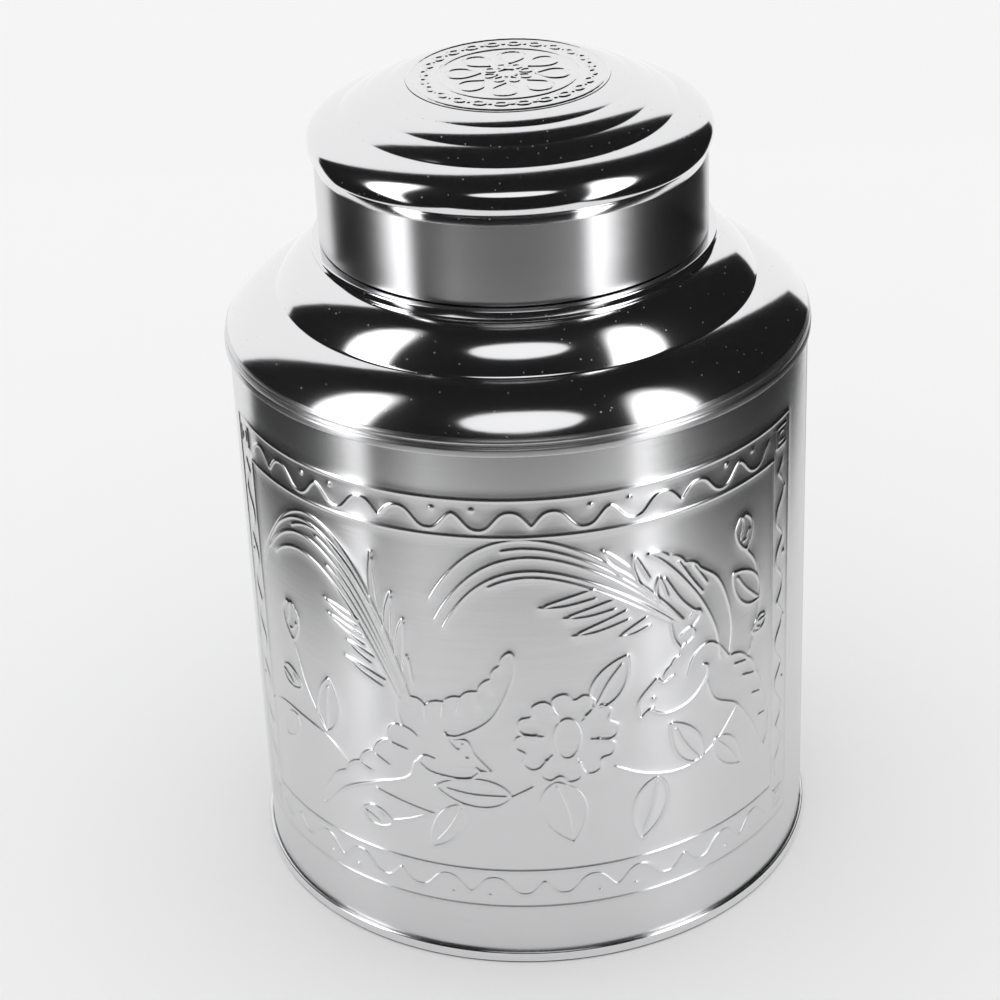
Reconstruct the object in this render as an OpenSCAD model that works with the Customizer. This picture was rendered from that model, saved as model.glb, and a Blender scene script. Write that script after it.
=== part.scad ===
// Round tinplate tea caddy: seamed body, stepped shoulder, collar, pull-off lid and inner plug lid.
// Frame: origin at the centre of the foot, +Z up, the front of the decorated wall faces -Y.

/* [Body] */
// Outer radius of the rolled wall
wall_r = 75; // [65:0.5:90]
// Height of the seam between wall and shoulder, at its lower edge
wall_h = 151; // [120:1:200]
// Thickness of the tinplate
sheet_t = 0.3; // [0.2:0.01:0.4]
// Recess of the bottom panel above the table
foot_recess = 3.4; // [2.5:0.1:6]

/* [Shoulder] */
// Height of the stepped shoulder, from its seam bead to the collar ledge
shoulder_h = 21.8; // [18:0.1:30]
// Place of the crease between the two rings of the shoulder, as a share of the way from collar to wall
crease_share = 0.44; // [0.3:0.01:0.6]

/* [Lid] */
// Outer radius of the lid skirt
lid_r = 49.8; // [44:0.1:53]
// Height of the lid's top above the collar's rim
crown_h = 21; // [17:0.5:30]
// Radius of the flat medallion on the lid
medallion_r = 24.8; // [15:0.1:26]

/* [Collar and inner lid] */
// Height of the collar above its ledge
collar_h = 19.5; // [15:0.5:22]
// Depth of the inner lid's dish below the collar's rim
dish_depth = 7.5; // [5:0.5:10]
// Height of the inner lid's knob
knob_h = 8.5; // [5:0.5:9]

/* [Embossed frames] */
// Number of framed panels round the wall
panel_count = 2; // [1:1:2]
// Half of the angle that one framed panel covers
panel_half_angle = 69; // [40:1:80]
// Angle between the outer and inner posts of a frame
border_angle = 7; // [3:0.5:12]
// Height of the emboss
emboss_h = 0.3; // [0.1:0.05:0.5]

/* [Clearances] */
// Gap between pieces that move apart
lid_gap = 0.35; // [0.3:0.05:0.5]
// Gap between the folded layers of a seam, filled by sealing compound
fold_gap = 0.05; // [0.02:0.01:0.1]

/* [Hidden] */
$fn = 96;
arc_steps = 8;

// Double seam: middle lines of the four layers, from the wall outwards
pitch = sheet_t + fold_gap;
wall_mid_r = wall_r - sheet_t / 2;
hook_mid_r = wall_mid_r + pitch;
flange_mid_r = wall_mid_r + 2 * pitch;
cover_mid_r = wall_mid_r + 3 * pitch;
corner_r = 1.5 * sheet_t;
seam_h = 2.2;
flange_len = 0.7;

// Bottom seam
foot_flange_z = pitch + 1.5 * sheet_t + fold_gap;
foot_cover_z = foot_flange_z + 1.9;

// Shoulder seam
seam_low_z = wall_h + sheet_t / 2 + pitch;
seam_top_z = wall_h + seam_h - sheet_t / 2;
wall_turn_z = seam_top_z - 2 * pitch;
bead_r = 0.55;
groove_mid_r = wall_mid_r + 0.1;
bead_z = seam_top_z + corner_r + bead_r + 0.55;
dome_edge = [groove_mid_r, bead_z + 2 * bead_r];

// Collar ledge and its seam, built inwards of the ledge's outer edge
ledge_z = wall_h + seam_h + shoulder_h + 2.75;
lid_inner_r = lid_r - sheet_t;
hem_inner_r = lid_inner_r - pitch;
collar_mid_r = hem_inner_r - lid_gap - sheet_t / 2;
neck_mid_r = lid_r + 1;
neck_top_z = ledge_z - sheet_t / 2;
neck_turn_z = neck_top_z - 2 * pitch;
neck_low_z = neck_top_z - 1.7;
collar_foot_r = 2 * sheet_t;

// Shoulder rings
neck_start = [neck_mid_r + 0.8, ledge_z - 3.15];
crease = neck_start + crease_share * [dome_edge[0] - neck_start[0], -shoulder_h];
ring_bow = 1.1;

// Collar rim
rim_r = 0.85;
rim_z = ledge_z + collar_h - rim_r - sheet_t / 2;
mouth_r = collar_mid_r - 2 * rim_r - sheet_t / 2;

// Outer lid, measured from its lower edge
lid_low_z = ledge_z + lid_gap;
lid_top_z = ledge_z + collar_h + crown_h;
hem_len = 2.5;
bulge_r = 6.4;
bulge_centre = [lid_r - 4.8, lid_top_z - 13.8];
waist_z = bulge_centre[1] - 5.4;
step_drop = 2.4;
step_grow = 0.75;
step_bow = 0.25;
step_count = 3;
crown_angle = 53;
step_w = (bulge_centre[0] - 2.6 - medallion_r - 0.8) / step_count;

// Inner lid, measured from the collar's rim
plug_r = mouth_r - lid_gap;
plug_mid_r = plug_r - sheet_t / 2;
flange_z = rim_z + rim_r + sheet_t + lid_gap;
panel_z = flange_z - dish_depth;
plug_corner_r = 1.2;
rim_hem_r = 0.2;
flange_edge_r = hem_inner_r - lid_gap - rim_hem_r - sheet_t / 2;

// Knob and rivet
knob_r = 7;
knob_foot_r = 4.5;
knob_neck_r = 3;
rivet_r = 1.5;
rivet_len = 4.5;
rivet_head_r = 3.2;
rivet_head_h = 1.1;
bore_gap = 0.05;

// Embossed frames: widths and heights of the lines, from the foot
line_w = 0.8;
frame_low_z = [17.2, 28.7];
frame_high_z = [wall_h - 22, wall_h - 11.8];
lap_half_angle = 2;
lap_angle = 90;

// Points of an arc about centre c, from angle a to angle b
function arc(c, r, a, b) =
    [for (i = [0 : arc_steps])
        let (s = a + (b - a) * i / arc_steps) [c[0] + r * cos(s), c[1] + r * sin(s)]];

// Points of a line from p to q that bows by h to its left, without its first point
function bow(p, q, h) =
    [for (i = [1 : arc_steps])
        let (s = i / arc_steps, d = q - p)
            p + d * s + 4 * h * s * (1 - s) * [-d[1], d[0]] / norm(d)];

function left_of(p, q) = [p[1] - q[1], q[0] - p[0]] / norm(q - p);

// Direction in which point i of path p moves when the path shifts to its left by one
function miter(p, i) =
    let (a = i > 0 ? left_of(p[i - 1], p[i]) : left_of(p[0], p[1]),
         b = i < len(p) - 1 ? left_of(p[i], p[i + 1]) : a)
        (a + b) / (1 + a * b);

// Closed outline of a sheet whose middle line is path p
function sheet(p) =
    concat([for (i = [0 : len(p) - 1]) p[i] + miter(p, i) * sheet_t / 2],
           [for (i = [len(p) - 1 : -1 : 0]) p[i] - miter(p, i) * sheet_t / 2]);

module turned_sheet(p) {
    rotate_extrude() polygon(sheet(p));
}

// Stretch of a raised skin on the wall, between two heights and within half_angle of the front
module wall_sector(z, half_angle, low_r, high_r) {
    rotate([0, 0, -half_angle - 90])
        rotate_extrude(angle = 2 * half_angle)
            translate([low_r, z[0]]) square([high_r - low_r, z[1] - z[0]]);
}

// Closed frame of one raised line, whose outer edges lie at heights z and at half_angle
module raised_frame(z, half_angle) {
    line_angle = asin(line_w / wall_r);
    difference() {
        wall_sector(z, half_angle, wall_mid_r, wall_r + emboss_h);
        wall_sector([z[0] + line_w, z[1] - line_w], half_angle - line_angle, wall_mid_r - 1, wall_r + 1);
    }
}

module framed_panel() {
    raised_frame([frame_low_z[0], frame_high_z[1]], panel_half_angle);
    raised_frame([frame_low_z[1], frame_high_z[0]], panel_half_angle - border_angle);
}

// Lap of the rolled sheet, a low strip up the side
module side_lap() {
    rotate([0, 0, lap_angle])
        wall_sector([foot_cover_z + 1.5, wall_h - 1], lap_half_angle, wall_mid_r, wall_r + sheet_t / 2);
}

module body_wall() {
    color("silver") {
        turned_sheet(concat(
            [[flange_mid_r, foot_cover_z - 0.2]],
            arc([hook_mid_r, foot_flange_z], pitch, 0, -180),
            arc([hook_mid_r, wall_turn_z], pitch, 180, 0),
            [[flange_mid_r, wall_turn_z - flange_len]]));
        for (i = [0 : panel_count - 1]) rotate([0, 0, i * 180]) framed_panel();
        side_lap();
    }
}

module bottom_plate() {
    chuck_mid_r = wall_mid_r - pitch;
    panel_mid_z = foot_recess + sheet_t / 2;
    step_r = [wall_r * 0.8, wall_r * 0.88];
    color("gainsboro") turned_sheet(concat(
        [[0, panel_mid_z], [step_r[0], panel_mid_z]],
        bow([step_r[0], panel_mid_z], [step_r[1], panel_mid_z], 0.8),
        arc([chuck_mid_r - corner_r, panel_mid_z - corner_r], corner_r, 90, 0),
        arc([chuck_mid_r + corner_r, sheet_t / 2 + corner_r], corner_r, 180, 270),
        arc([cover_mid_r - corner_r, sheet_t / 2 + corner_r], corner_r, 270, 360),
        arc([flange_mid_r, foot_cover_z], pitch, 0, 180),
        [[hook_mid_r, foot_flange_z - fold_gap]]));
}

module shoulder() {
    color("silver") turned_sheet(concat(
        [[neck_mid_r + 2 * pitch, neck_low_z + 0.15]],
        arc([neck_mid_r + pitch, neck_turn_z], pitch, 0, 180),
        [[neck_mid_r, neck_start[1] + 0.8], neck_start],
        bow(neck_start, crease, ring_bow),
        bow(crease, dome_edge, ring_bow),
        arc([dome_edge[0], bead_z], bead_r, 60, -60),
        arc([groove_mid_r + corner_r, seam_top_z + corner_r], corner_r, 180, 270),
        arc([cover_mid_r - corner_r, seam_top_z - corner_r], corner_r, 90, 0),
        arc([flange_mid_r, seam_low_z], pitch, 0, -180),
        [[hook_mid_r, wall_turn_z - fold_gap]]));
}

module collar() {
    cover_r = neck_mid_r + 3 * pitch;
    color("silver") turned_sheet(concat(
        arc([collar_mid_r - rim_r, rim_z], rim_r, 250, 0),
        arc([collar_mid_r + collar_foot_r, neck_top_z + collar_foot_r], collar_foot_r, 180, 270),
        arc([cover_r - corner_r, neck_top_z - corner_r], corner_r, 90, 0),
        arc([neck_mid_r + 2 * pitch, neck_low_z], pitch, 0, -180),
        [[neck_mid_r + pitch, neck_turn_z - fold_gap]]));
}

// Middle line of the lid's top, from its centre to the last step above the bulge
// Every step falls further than the one inside it
function step_point(i) = [
    medallion_r + 0.8 + i * step_w,
    lid_top_z - sheet_t / 2 - 0.1 - i * step_drop + (i - i * (i - 1) / 2) * step_grow];

function lid_steps(i) =
    i == step_count ? [] : concat(bow(step_point(i), step_point(i + 1), step_bow), lid_steps(i + 1));

// Curve from the last step, p, that steepens until it is upright at q; neither p nor q is in it
function crown(p, q, steps = 14) = [
    for (i = [1 : steps - 1])
        let (t = crown_angle * (1 - i / steps))
            [q[0] - (q[0] - p[0]) * (1 - cos(t)) / (1 - cos(crown_angle)),
             q[1] + (p[1] - q[1]) * sin(t) / sin(crown_angle)]];

module lid() {
    top_mid_z = lid_top_z - sheet_t / 2;
    skirt_mid_r = lid_r - sheet_t / 2;
    hem_mid_r = skirt_mid_r - pitch;
    hem_turn_z = lid_low_z + sheet_t / 2 + pitch / 2;
    color("silver") turned_sheet(concat(
        [[0, top_mid_z], [medallion_r - 0.8, top_mid_z]],
        bow([medallion_r - 0.8, top_mid_z], [medallion_r + 0.8, top_mid_z - 0.1], 0.3),
        lid_steps(0),
        crown(step_point(step_count), bulge_centre + [bulge_r - sheet_t / 2, 0]),
        arc(bulge_centre, bulge_r - sheet_t / 2, 0, -30),
        [[skirt_mid_r, waist_z]],
        arc([skirt_mid_r - pitch / 2, hem_turn_z], pitch / 2, 0, -180),
        [[hem_mid_r, hem_turn_z + hem_len]]));
}

module inner_lid() {
    color("gainsboro") turned_sheet(concat(
        [[rivet_r + bore_gap, panel_z], [plug_r * 0.62, panel_z]],
        bow([plug_r * 0.62, panel_z], [plug_r * 0.76, panel_z], 0.6),
        arc([plug_mid_r - plug_corner_r, panel_z + plug_corner_r], plug_corner_r, 270, 360),
        arc([plug_mid_r + corner_r, flange_z - corner_r], corner_r, 180, 90),
        arc([flange_edge_r, flange_z + rim_hem_r], rim_hem_r, 270, 450),
        [[flange_edge_r - 0.8, flange_z + 2 * rim_hem_r]]));
}

module inner_lid_knob() {
    foot_z = panel_z + sheet_t / 2;
    top_z = foot_z + knob_h;
    side_r = 1.5;
    waist_z = foot_z + knob_h * 0.45;
    color("silver") rotate_extrude() polygon(concat(
        [[0, foot_z + rivet_len + bore_gap], [rivet_r + bore_gap, foot_z + rivet_len + bore_gap],
         [rivet_r + bore_gap, foot_z], [knob_foot_r, foot_z], [knob_foot_r, foot_z + 0.8],
         [knob_neck_r, waist_z - 1.4], [knob_neck_r, waist_z]],
        arc([knob_r - side_r, top_z - 2 * side_r], side_r, -60, 75),
        [[0, top_z]]));
}

module knob_rivet() {
    under_z = panel_z - sheet_t / 2;
    shank_top_z = panel_z + sheet_t / 2 + rivet_len;
    color("gainsboro") rotate_extrude() polygon(concat(
        [[0, shank_top_z], [0, under_z - rivet_head_h]],
        [for (i = [1 : arc_steps])
            let (s = 90 * i / arc_steps)
                [rivet_head_r * sin(s), under_z - rivet_head_h * cos(s)]],
        [[rivet_r, under_z], [rivet_r, shank_top_z]]));
}

body_wall();
bottom_plate();
shoulder();
collar();
lid();
inner_lid();
inner_lid_knob();
knob_rivet();
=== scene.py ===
# Round tinplate tea caddy: bright shoulder and lid, satin wall with birds and flowers in relief.
import math

import bpy
import numpy as np
from mathutils import Matrix, Quaternion, Vector


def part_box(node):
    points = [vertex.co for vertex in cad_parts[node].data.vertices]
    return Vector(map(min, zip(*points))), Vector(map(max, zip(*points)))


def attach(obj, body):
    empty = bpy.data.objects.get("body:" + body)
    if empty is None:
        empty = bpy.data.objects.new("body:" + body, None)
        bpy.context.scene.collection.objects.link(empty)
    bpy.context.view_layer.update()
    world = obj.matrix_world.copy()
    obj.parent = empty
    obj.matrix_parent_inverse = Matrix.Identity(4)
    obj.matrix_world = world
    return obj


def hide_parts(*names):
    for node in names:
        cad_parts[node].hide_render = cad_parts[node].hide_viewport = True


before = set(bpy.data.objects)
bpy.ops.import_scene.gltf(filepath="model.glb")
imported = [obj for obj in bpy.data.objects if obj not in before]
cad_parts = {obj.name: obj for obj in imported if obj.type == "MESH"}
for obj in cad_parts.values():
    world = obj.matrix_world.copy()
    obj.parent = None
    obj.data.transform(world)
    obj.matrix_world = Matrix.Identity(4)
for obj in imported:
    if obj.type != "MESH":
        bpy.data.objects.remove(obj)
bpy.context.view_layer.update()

bl_info = {
    "name": "Tea caddy",
    "version": (1, 0, 0),
    "blender": (4, 5, 0),
    "location": "View3D > Sidebar > Tea caddy",
    "description": "Builds an embossed tinplate tea caddy round its frame",
    "category": "Object",
}

MM = 0.001

WALL_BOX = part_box("body_wall")
FOOT_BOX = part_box("bottom_plate")
SHOULDER_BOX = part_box("shoulder")
COLLAR_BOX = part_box("collar")
LID_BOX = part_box("lid")
INNER_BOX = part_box("inner_lid")
KNOB_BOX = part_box("inner_lid_knob")
RIVET_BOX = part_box("knob_rivet")

SEAM_WIDTH = 1.05 * MM  # how far the foot's seam stands out from the wall
SKIN = 0.06 * MM  # how far a face lies under the piece that covers it
TOUCH = 1e-6  # points nearer than this are one point


# -------- sizes and colours

def length_size(name, description, default):
    return bpy.props.FloatProperty(name=name, description=description, default=default, precision=5,
                                   unit="LENGTH")


def angle_size(name, description, default):
    return bpy.props.FloatProperty(name=name, description=description, default=math.radians(default),
                                   subtype="ANGLE")


def tin_colour(name, description, default):
    return bpy.props.FloatVectorProperty(name=name, description=description, default=default,
                                         subtype="COLOR", min=0, max=1)


class CaddySizes(bpy.types.PropertyGroup):
    wall_radius: length_size("Wall radius", "Outer radius of the rolled wall", FOOT_BOX[1][0] - SEAM_WIDTH)
    sheet: length_size("Sheet", "Thickness of the tinplate", 0.3 * MM)
    fold_gap: length_size("Fold gap", "Gap between the folded layers of a seam", 0.05 * MM)
    move_gap: length_size("Lid gap", "Gap between pieces that move apart", 0.35 * MM)
    ledge_height: length_size("Ledge height", "Height of the ledge that the lid rests on",
                              LID_BOX[0][2] - 0.35 * MM)
    lid_radius: length_size("Lid radius", "Outer radius of the lid's skirt", LID_BOX[1][0] - 1.6 * MM)
    medallion_radius: length_size("Medallion radius", "Radius of the medallion on the lid", 24.8 * MM)


class ReliefSizes(bpy.types.PropertyGroup):
    line_height: length_size("Line height", "Height of a pressed line's crest", 0.22 * MM)
    line_width: length_size("Line width", "Half width of a pressed line's crest", 0.26 * MM)
    swell_height: length_size("Swell height", "Height of the soft swell beside a line", 0.1 * MM)
    swell_width: length_size("Swell width", "Half width of the soft swell beside a line", 1.1 * MM)
    outer_angle: angle_size("Outer frame", "Half angle of a panel's outer frame", 69)
    inner_angle: angle_size("Inner frame", "Half angle of a panel's inner frame", 62)
    grid: length_size("Grid", "Spacing of the mesh that holds the relief", 0.33 * MM)


class TinFinish(bpy.types.PropertyGroup):
    bright: tin_colour("Bright tin", "Colour of the polished tinplate", (0.80, 0.80, 0.81))
    satin: tin_colour("Satin tin", "Colour of the brushed tinplate", (0.72, 0.72, 0.73))
    plain: tin_colour("Plain tin", "Colour of the tinplate inside", (0.62, 0.62, 0.63))


def sizes():
    return bpy.context.scene.caddy_sizes


def relief_sizes():
    return bpy.context.scene.caddy_relief


def pitch():
    return sizes().sheet + sizes().fold_gap


# -------- turned sheet pieces

ARC_STEPS = 14
TURN_STEPS = 320
CROWN_STEPS = 24
CROWN_ANGLE = math.radians(53)
EDGE_ANGLE = math.radians(40)


def arc(centre, radius, start, end, steps=ARC_STEPS):
    """Points of an arc in the profile, angles in degrees."""
    angles = [math.radians(start + (end - start) * i / steps) for i in range(steps + 1)]
    return [(centre[0] + radius * math.cos(a), centre[1] + radius * math.sin(a)) for a in angles]


def bow(p, q, rise, steps=ARC_STEPS):
    """Points from p to q, without p, on a line that bows to its left."""
    across = (p[1] - q[1], q[0] - p[0])
    length = math.hypot(*across)
    points = []
    for i in range(1, steps + 1):
        t = i / steps
        lift = 4 * rise * t * (1 - t) / length
        points.append((p[0] + (q[0] - p[0]) * t + across[0] * lift,
                       p[1] + (q[1] - p[1]) * t + across[1] * lift))
    return points


def crown(p, q):
    """Points of a curve from p that steepens until it is upright at q, without its ends."""
    turns = [CROWN_ANGLE * (1 - i / CROWN_STEPS) for i in range(1, CROWN_STEPS)]
    wide, tall = 1 - math.cos(CROWN_ANGLE), math.sin(CROWN_ANGLE)
    return [(q[0] - (q[0] - p[0]) * (1 - math.cos(a)) / wide,
             q[1] + (p[1] - q[1]) * math.sin(a) / tall) for a in turns]


def sheet_outline(middle, thickness):
    """Closed outline of a sheet round its middle line."""
    path = np.array(middle)
    step = np.diff(path, axis=0)
    normal = np.stack([-step[:, 1], step[:, 0]], 1) / np.linalg.norm(step, axis=1)[:, None]
    before = np.vstack([normal[:1], normal])
    after = np.vstack([normal, normal[-1:]])
    mitre = (before + after) / (1 + (before * after).sum(1))[:, None]
    side = mitre * thickness / 2
    return np.vstack([path + side, (path - side)[::-1]])


def deselect_all():
    bpy.ops.object.select_all(action="DESELECT")


def edit_all():
    """Opens the active mesh for editing with all of it selected."""
    bpy.ops.object.mode_set(mode="EDIT")
    bpy.ops.mesh.select_all(action="SELECT")


def finish_piece(name, finish, body, node):
    """Names the active object, gives it its finish and ties it to the frame."""
    piece = bpy.context.active_object
    piece.name = name
    piece.data.name = name
    piece.data.materials.clear()
    piece.data.materials.append(get_material(finish))
    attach(piece, body)
    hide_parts(node)


def turned(outline, steps=TURN_STEPS):
    """Draws an outline of (radius, height) point by point and spins it round Z.

    An outline that starts and ends on the axis is left open there; any other is closed."""
    deselect_all()
    bpy.ops.mesh.primitive_plane_add(size=1 * MM, location=(0, 0, 0))
    closed = outline[0][0] > TOUCH or outline[-1][0] > TOUCH
    path = [Vector((r, 0, z)) for r, z in outline]
    if closed:
        path.append(path[0])
    bpy.ops.object.mode_set(mode="EDIT")
    bpy.ops.mesh.select_mode(type="VERT")
    bpy.ops.mesh.select_all(action="SELECT")
    bpy.ops.mesh.merge(type="CENTER")
    bpy.ops.transform.translate(value=path[0])
    for here, there in zip(path, path[1:]):
        bpy.ops.mesh.extrude_region_move(TRANSFORM_OT_translate={"value": there - here})
    bpy.ops.mesh.select_all(action="SELECT")
    bpy.ops.mesh.remove_doubles(threshold=TOUCH)
    bpy.ops.mesh.spin(steps=steps, angle=2 * math.pi, center=(0, 0, 0), axis=(0, 0, 1))
    bpy.ops.mesh.select_all(action="SELECT")
    bpy.ops.mesh.remove_doubles(threshold=TOUCH)
    bpy.ops.mesh.normals_make_consistent(inside=False)
    bpy.ops.object.mode_set(mode="OBJECT")
    bpy.ops.object.shade_smooth_by_angle(angle=EDGE_ANGLE)


def turned_sheet(middle, steps=TURN_STEPS):
    """Spins a sheet whose middle line is given."""
    turned(sheet_outline(middle, sizes().sheet), steps)


# -------- relief drawing, in millimetres

CURVE_STEPS = 12
BEZIER_STEPS = 60
RING_STEPS = 48
RIB_END = 0.85


def smooth(points):
    """Curve through all the points."""
    p = np.array(points, float)
    ends = np.vstack([2 * p[0] - p[1], p, 2 * p[-1] - p[-2]])
    t = np.linspace(0, 1, CURVE_STEPS, endpoint=False)[:, None]
    parts = []
    for i in range(len(p) - 1):
        a, b, c, d = ends[i:i + 4]
        parts.append(0.5 * (2 * b + (c - a) * t + (2 * a - 5 * b + 4 * c - d) * t ** 2
                            + (3 * b - a - 3 * c + d) * t ** 3))
    return np.vstack(parts + [p[-1:]])


def curves(*lines):
    """A curve through each list of points."""
    return [smooth(points) for points in lines]


def bezier(a, b, c, d, stop=1.0):
    """Curve from a to d that leans to b and c, drawn as far as stop."""
    t = np.linspace(0, stop, BEZIER_STEPS)[:, None]
    a, b, c, d = map(np.array, (a, b, c, d))
    return a * (1 - t) ** 3 + 3 * b * t * (1 - t) ** 2 + 3 * c * t ** 2 * (1 - t) + d * t ** 3


def scallops(points, depth):
    """Row of arcs between the points, each bowed to its left."""
    return [np.array([points[i]] + bow(points[i], points[i + 1], depth))
            for i in range(len(points) - 1)]


def leaf(base, tip, width):
    """A pointed leaf with its middle rib."""
    b, t = np.array(base, float), np.array(tip, float)
    along = t - b
    side = np.array([-along[1], along[0]]) / np.linalg.norm(along) * width * 1.2
    return [bezier(b, b + along * 0.16 + side, b + along * 0.66 + side, t),
            bezier(b, b + along * 0.16 - side, b + along * 0.66 - side, t),
            smooth([b + along * 0.06, b + along * 0.5 + side * 0.1, b + along * RIB_END])]


def spike(base, tip, width):
    """A thin barb of two lines; the second one runs into the first just before its tip."""
    b, t = np.array(base, float), np.array(tip, float)
    side = np.array([b[1] - t[1], t[0] - b[0]]) / np.linalg.norm(t - b) * width / 2
    middle = b + (t - b) * 0.6
    return [smooth([b + side, middle + side * 0.9, t]),
            smooth([b - side, middle - side * 0.5, b + (t - b) * 0.9 - side * 0.12])]


def ring(centre, rx, ry=None):
    a = np.linspace(0, 2 * math.pi, RING_STEPS)
    return np.stack([centre[0] + rx * np.cos(a), centre[1] + (ry or rx) * np.sin(a)], 1)


def bud(centre, size, turn):
    """A half-open bud: a cup, the notched tips of its petals and two folds."""
    c, s = math.cos(math.radians(turn)), math.sin(math.radians(turn))

    def place(points):
        p = np.array(points, float) * size
        return np.stack([centre[0] + p[:, 0] * c - p[:, 1] * s,
                         centre[1] + p[:, 0] * s + p[:, 1] * c], 1)

    cup = smooth(place([(-0.3, 1.0), (-0.62, 0.5), (-0.5, -0.3), (0, -0.9),
                        (0.5, -0.3), (0.62, 0.5), (0.3, 1.0)]))
    tips = scallops([tuple(q) for q in place([(0.3, 1.0), (0, 0.85), (-0.3, 1.0)])], -0.18 * size)
    folds = [smooth(place([(0, 0.85), (-0.16, 0.3), (-0.36, -0.1)])),
             smooth(place([(0.42, 0.1), (0.1, -0.3), (-0.2, -0.35)]))]
    return [cup] + tips + folds


def peony(centre, size):
    """Six notched petals round an oval heart."""
    lines = [ring(centre, 0.26 * size, 0.46 * size)]
    for k in range(6):
        a = math.radians(20 + 60 * k)
        rim = []
        for swing, reach in ((-27, 0.6), (-30, 0.8), (-24, 0.98), (-11, 1.02), (0, 0.88), (11, 1.02),
                             (24, 0.98), (30, 0.8), (27, 0.6)):
            b = a + math.radians(swing)
            rim.append((centre[0] + reach * size * math.cos(b), centre[1] + reach * size * math.sin(b)))
        lines.append(smooth(rim))
        b = a + math.radians(30)
        lines.append(smooth([(centre[0] + r * size * math.cos(b), centre[1] + r * size * math.sin(b))
                             for r in (0.46, 0.56, 0.64)]))
    return lines


def left_bird():
    """The diving bird: tail, barbs, far wing, near wing and head."""
    tail = [bezier((-25, 80), (-35, 118), (-56, 150), (-79, 96)),
            bezier((-26, 80), (-36, 114), (-55, 144), (-78, 101)),
            bezier((-27, 80), (-37, 106), (-53, 133), (-73, 107)),
            bezier((-28, 79), (-38, 99), (-52, 124), (-70, 107)),
            bezier((-25.4, 80), (-35, 115), (-56, 147), (-80, 90), 0.72),
            bezier((-26.6, 80), (-36, 109), (-54, 139), (-75, 104), 0.6),
            bezier((-27.6, 80), (-37, 102), (-53, 129), (-71, 107), 0.55)]
    barbs = []
    for base, tip in (((-32, 82), (-44, 87)), ((-35, 88), (-43, 92)), ((-37, 93), (-49, 98)),
                      ((-39, 98), (-50, 102)), ((-33, 103), (-33.5, 120.5)), ((-30, 97), (-28.5, 110)),
                      ((-27, 92), (-25.5, 103)), ((-25, 84), (-25, 92.5))):
        barbs += spike(base, tip, 2.4)
    wing = scallops([(1.5, 96), (-1, 92), (-3.5, 88), (-7, 84), (-11.5, 82), (-16, 80), (-21, 78),
                     (-25, 80)], -0.8)
    wing.append(smooth([(1.5, 96), (2.4, 94), (1, 86), (-4, 76), (-12, 70.5), (-16, 70)]))
    wing += curves([(-21, 78), (-21, 74)], [(-16, 79.5), (-16.6, 75)], [(-11.5, 81.6), (-12.6, 77)],
                   [(-7, 83.6), (-7, 79.6)], [(-3.5, 87.6), (-3.5, 84)])
    low_wing = scallops([(-23.5, 68), (-30, 70.5), (-31.5, 65.5), (-36.5, 60.5), (-41.5, 55.5),
                         (-46.5, 50.5), (-53, 44), (-56.5, 36)], -1.0)
    low_wing.append(smooth([(-56.5, 36), (-54.5, 37), (-47, 45), (-37, 50.5), (-27, 55), (-24.5, 60.5)]))
    low_wing += curves([(-31.5, 64.6), (-26.5, 63.4)], [(-36.5, 59.4), (-32, 57)], [(-42, 55), (-38, 53.6)])
    head = curves([(-16, 71), (-14.8, 68), (-12.6, 66), (-11.4, 68.2)],
                  [(-14, 69), (-10.5, 69), (-8.6, 65), (-4.5, 60)],
                  [(-4.5, 60), (-7, 60.1), (-8.4, 61)],
                  [(-24, 60.8), (-20, 58), (-11, 57.4), (-7, 60.1)],
                  [(-24, 60.8), (-22, 62.8), (-19, 62.2)],
                  [(-28, 79), (-28.4, 74), (-27.4, 70.4)])
    return tail + barbs + wing + low_wing + head


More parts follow.
